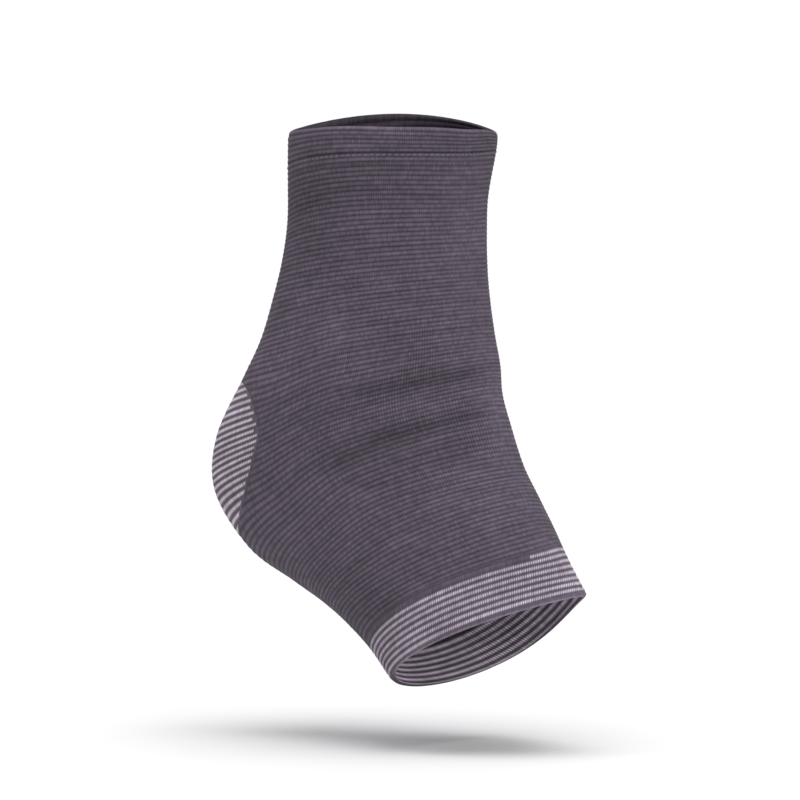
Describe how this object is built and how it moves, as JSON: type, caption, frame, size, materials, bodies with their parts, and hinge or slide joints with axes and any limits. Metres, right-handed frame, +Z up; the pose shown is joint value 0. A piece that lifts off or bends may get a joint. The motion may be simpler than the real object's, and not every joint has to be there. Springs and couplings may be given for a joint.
{
  "type": "ankle support sleeve",
  "caption": "Knitted ankle support sleeve, open at the leg and toes, with a ribbed body, a light-striped heel panel and toe band, in the form it takes on a foot.",
  "frame": {"origin": "the ankle's centre inside the sleeve, on the axis of the leg tube, where the sleeve sits on an ankle", "axes": "+Z up the leg out of the top cuff, +X forward to the toes, Y across the foot; the foot's middle plane is Y = 0"},
  "size_m": [0.1719, 0.0796, 0.2071],
  "materials": {
    "cuff_knit": "matt elastic rib knit, doubled",
    "body_knit": "matt elastic rib knit",
    "heel_knit": "matt rib knit striped with pale yarn",
    "toe_knit": "matt rib knit striped with pale yarn, doubled"
  },
  "bodies": {
    "root": {"top_cuff": "cuff_knit", "sleeve_body": "body_knit", "heel_panel": "heel_knit", "toe_band": "toe_knit"}
  },
  "joints": []
}
